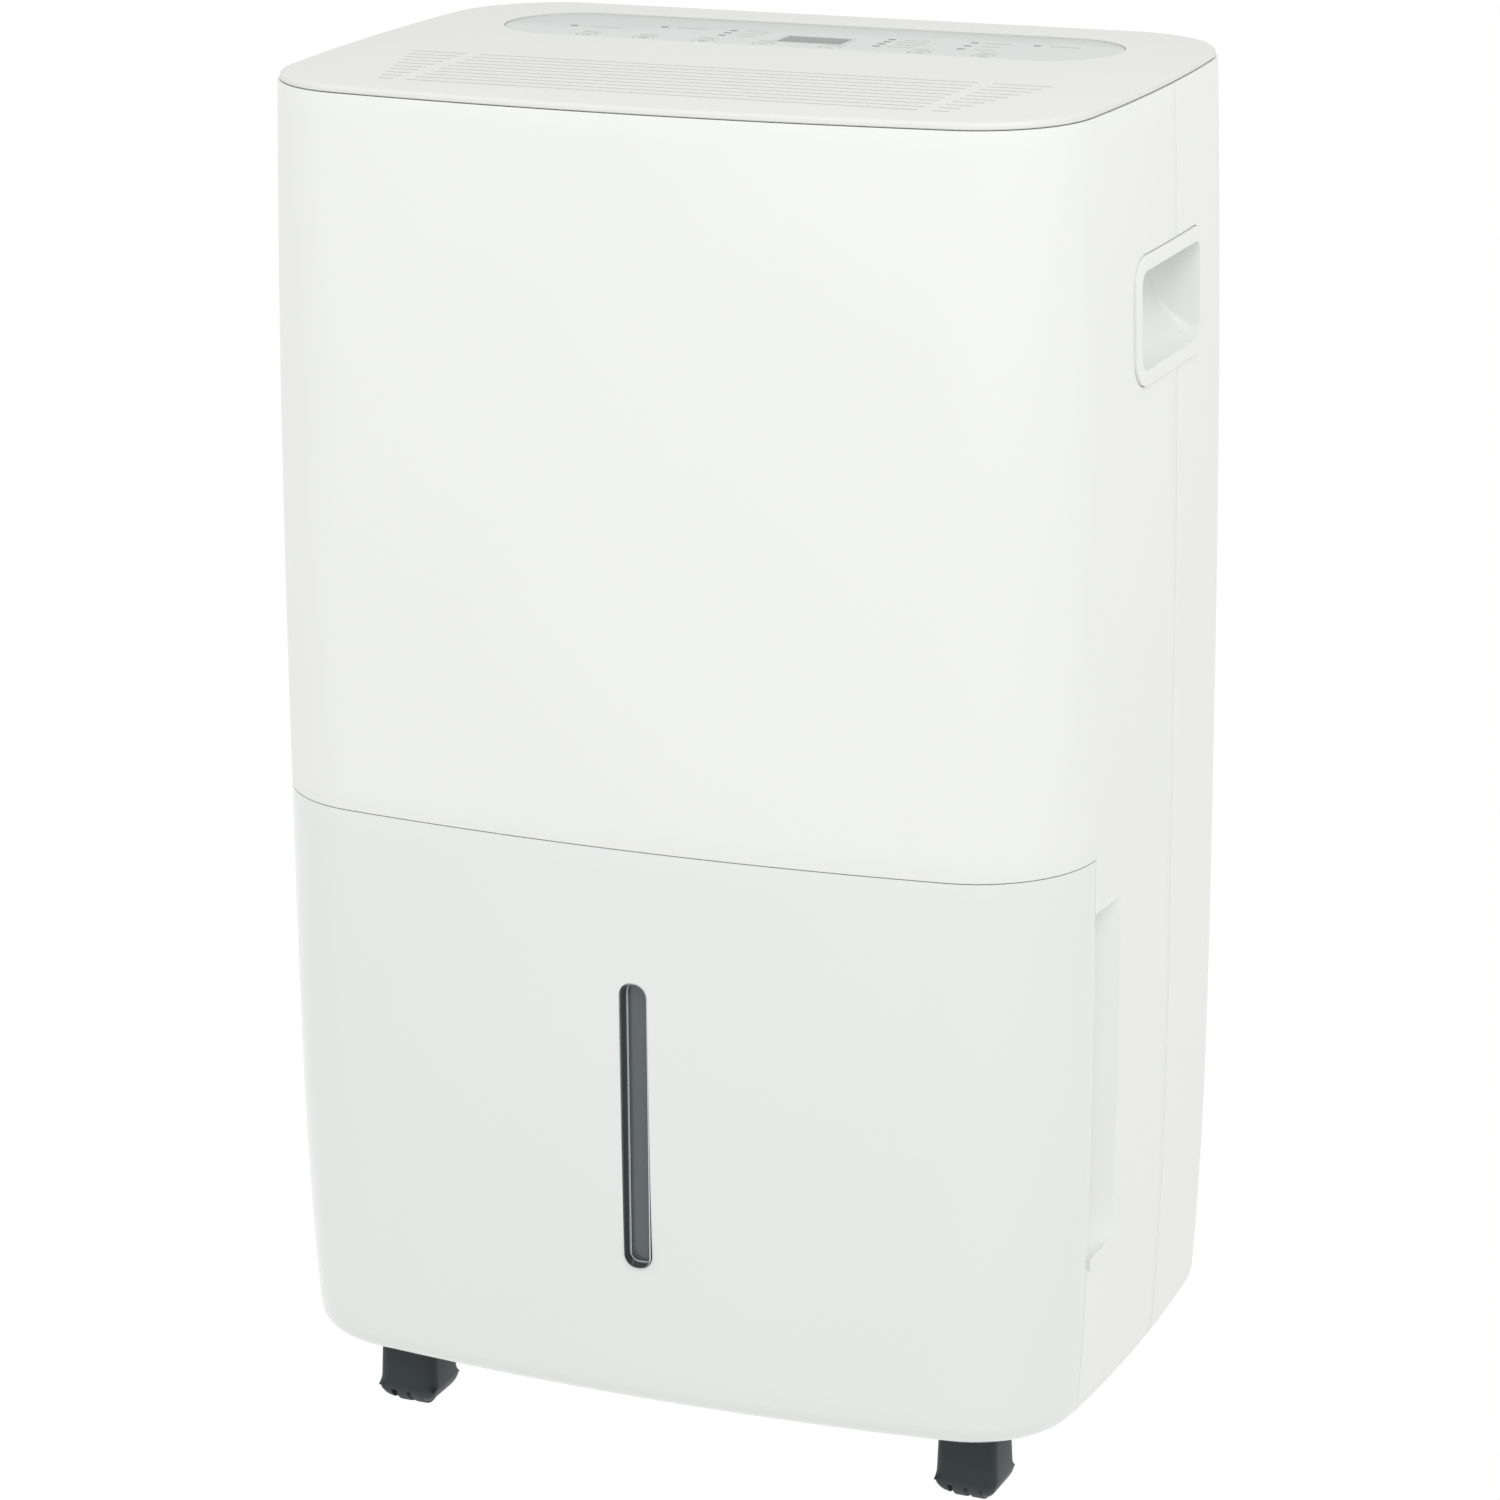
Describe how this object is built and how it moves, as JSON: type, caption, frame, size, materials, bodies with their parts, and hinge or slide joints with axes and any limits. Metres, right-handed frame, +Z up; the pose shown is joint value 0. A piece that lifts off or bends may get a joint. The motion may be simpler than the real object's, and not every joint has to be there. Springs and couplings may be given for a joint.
{
  "type": "portable dehumidifier",
  "caption": "Upright white room dehumidifier on swivel casters, with a pull-out water bucket, a slotted top air outlet with control panel, recessed side handles and a rear filter door.",
  "frame": {"origin": "on the floor under the middle of the cabinet: the bottom centre of the bounding box", "axes": "+Z up from the floor, +X to the right of a person who faces the front, -Y out of the front, where the bucket comes out"},
  "size_m": [0.3846, 0.274, 0.6235],
  "materials": {
    "body_white": "satin white moulded plastic",
    "bucket_white": "glossier white moulded plastic",
    "lid_white": "fine matt off-white plastic",
    "overlay_grey": "smooth pale grey-green panel",
    "display_dark": "dark glossy display lens",
    "circuit_green": "green circuit board",
    "black_plastic": "black moulded plastic",
    "caster_tread": "dark caster tread",
    "milky_plastic": "milky natural plastic",
    "window_clear": "clear lens over a dark tank",
    "float_foam": "closed foam float",
    "filter_mesh": "fine grey filter net in a frame",
    "coil_aluminium": "aluminium fins",
    "copper": "copper tube",
    "steel": "plain steel",
    "black_paint": "black painted steel shell",
    "rubber": "black rubber"
  },
  "bodies": {
    "cabinet": {"front_housing": "body_white", "rear_housing": "body_white", "top_panel": "lid_white", "control_overlay": "overlay_grey", "display_lens": "display_dark", "control_board": "circuit_green", "handle_cup_right": "body_white", "handle_cup_left": "body_white", "base_pan": "black_plastic", "bay_partition": "milky_plastic", "evaporator_coil": "coil_aluminium", "condenser_coil": "coil_aluminium", "drip_tray": "black_plastic", "fan_scroll": "black_plastic", "fan_motor": "steel", "motor_bracket": "steel", "compressor": "black_paint", "compressor_grommet_1": "rubber", "compressor_grommet_2": "rubber", "compressor_grommet_3": "rubber", "accumulator": "black_paint", "discharge_pipe": "copper", "suction_pipe": "copper", "control_box": "milky_plastic", "drain_spigot": "black_plastic", "cord_gland": "black_plastic", "housing_screw_1": "steel", "housing_screw_2": "steel", "housing_screw_3": "steel", "housing_screw_4": "steel"},
    "bucket": {"bucket_front": "bucket_white", "bucket_tank": "milky_plastic", "sight_window": "window_clear", "float_pin": "steel"},
    "float": {"bucket_float": "float_foam"},
    "door": {"filter_door": "body_white", "air_filter": "filter_mesh"},
    "fan_rotor": {"blower_wheel": "black_plastic", "motor_shaft": "steel"},
    "plug": {"drain_plug": "rubber"},
    "power_button": {"power_key": "overlay_grey"},
    "filter_button": {"filter_key": "overlay_grey"},
    "fan_button": {"fan_key": "overlay_grey"},
    "down_button": {"down_key": "overlay_grey"},
    "up_button": {"up_key": "overlay_grey"},
    "timer_button": {"timer_key": "overlay_grey"},
    "mode_button": {"mode_key": "overlay_grey"},
    "caster_front_left": {"caster_hood_front_left": "black_plastic", "caster_axle_front_left": "steel"},
    "wheel_front_left": {"caster_wheel_front_left": "caster_tread"},
    "caster_front_right": {"caster_hood_front_right": "black_plastic", "caster_axle_front_right": "steel"},
    "wheel_front_right": {"caster_wheel_front_right": "caster_tread"},
    "caster_rear_left": {"caster_hood_rear_left": "black_plastic", "caster_axle_rear_left": "steel"},
    "wheel_rear_left": {"caster_wheel_rear_left": "caster_tread"},
    "caster_rear_right": {"caster_hood_rear_right": "black_plastic", "caster_axle_rear_right": "steel"},
    "wheel_rear_right": {"caster_wheel_rear_right": "caster_tread"}
  },
  "joints": [
    {"name": "bucket_slide", "type": "slide", "parent": "cabinet", "child": "bucket", "axis": [0, -1, 0], "range_m": [0, 0.15]},
    {"name": "float_tilt", "type": "hinge", "parent": "bucket", "child": "float", "pos_m": [0.06, 0.0065, 0.2532], "axis": [0, -1, 0], "range_deg": [0, 20]},
    {"name": "door_tilt", "type": "hinge", "parent": "cabinet", "child": "door", "pos_m": [0, 0.1355, 0.3381], "axis": [-1, 0, 0], "range_deg": [0, 75]},
    {"name": "fan_spin", "type": "hinge", "parent": "cabinet", "child": "fan_rotor", "pos_m": [0, -0.05, 0.42505], "axis": [0, 1, 0], "continuous": true},
    {"name": "plug_pull", "type": "slide", "parent": "cabinet", "child": "plug", "axis": [0, 1, 0], "range_m": [0, 0.015]},
    {"name": "power_press", "type": "slide", "parent": "cabinet", "child": "power_button", "axis": [0, 0, -1], "range_m": [0, 0.0006], "stiffness_N_per_m": 1500},
    {"name": "filter_press", "type": "slide", "parent": "cabinet", "child": "filter_button", "axis": [0, 0, -1], "range_m": [0, 0.0006], "stiffness_N_per_m": 1500},
    {"name": "fan_press", "type": "slide", "parent": "cabinet", "child": "fan_button", "axis": [0, 0, -1], "range_m": [0, 0.0006], "stiffness_N_per_m": 1500},
    {"name": "down_press", "type": "slide", "parent": "cabinet", "child": "down_button", "axis": [0, 0, -1], "range_m": [0, 0.0006], "stiffness_N_per_m": 1500},
    {"name": "up_press", "type": "slide", "parent": "cabinet", "child": "up_button", "axis": [0, 0, -1], "range_m": [0, 0.0006], "stiffness_N_per_m": 1500},
    {"name": "timer_press", "type": "slide", "parent": "cabinet", "child": "timer_button", "axis": [0, 0, -1], "range_m": [0, 0.0006], "stiffness_N_per_m": 1500},
    {"name": "mode_press", "type": "slide", "parent": "cabinet", "child": "mode_button", "axis": [0, 0, -1], "range_m": [0, 0.0006], "stiffness_N_per_m": 1500},
    {"name": "swivel_front_left", "type": "hinge", "parent": "cabinet", "child": "caster_front_left", "pos_m": [-0.138, -0.0735, 0.03], "axis": [0, 0, 1], "continuous": true},
    {"name": "roll_front_left", "type": "hinge", "parent": "caster_front_left", "child": "wheel_front_left", "pos_m": [-0.138, -0.0795, 0.0125], "axis": [1, 0, 0], "continuous": true},
    {"name": "swivel_front_right", "type": "hinge", "parent": "cabinet", "child": "caster_front_right", "pos_m": [0.138, -0.0735, 0.03], "axis": [0, 0, 1], "continuous": true},
    {"name": "roll_front_right", "type": "hinge", "parent": "caster_front_right", "child": "wheel_front_right", "pos_m": [0.138, -0.0795, 0.0125], "axis": [1, 0, 0], "continuous": true},
    {"name": "swivel_rear_left", "type": "hinge", "parent": "cabinet", "child": "caster_rear_left", "pos_m": [-0.138, 0.091, 0.03], "axis": [0, 0, 1], "continuous": true},
    {"name": "roll_rear_left", "type": "hinge", "parent": "caster_rear_left", "child": "wheel_rear_left", "pos_m": [-0.138, 0.085, 0.0125], "axis": [1, 0, 0], "continuous": true},
    {"name": "swivel_rear_right", "type": "hinge", "parent": "cabinet", "child": "caster_rear_right", "pos_m": [0.138, 0.091, 0.03], "axis": [0, 0, 1], "continuous": true},
    {"name": "roll_rear_right", "type": "hinge", "parent": "caster_rear_right", "child": "wheel_rear_right", "pos_m": [0.138, 0.085, 0.0125], "axis": [1, 0, 0], "continuous": true}
  ]
}
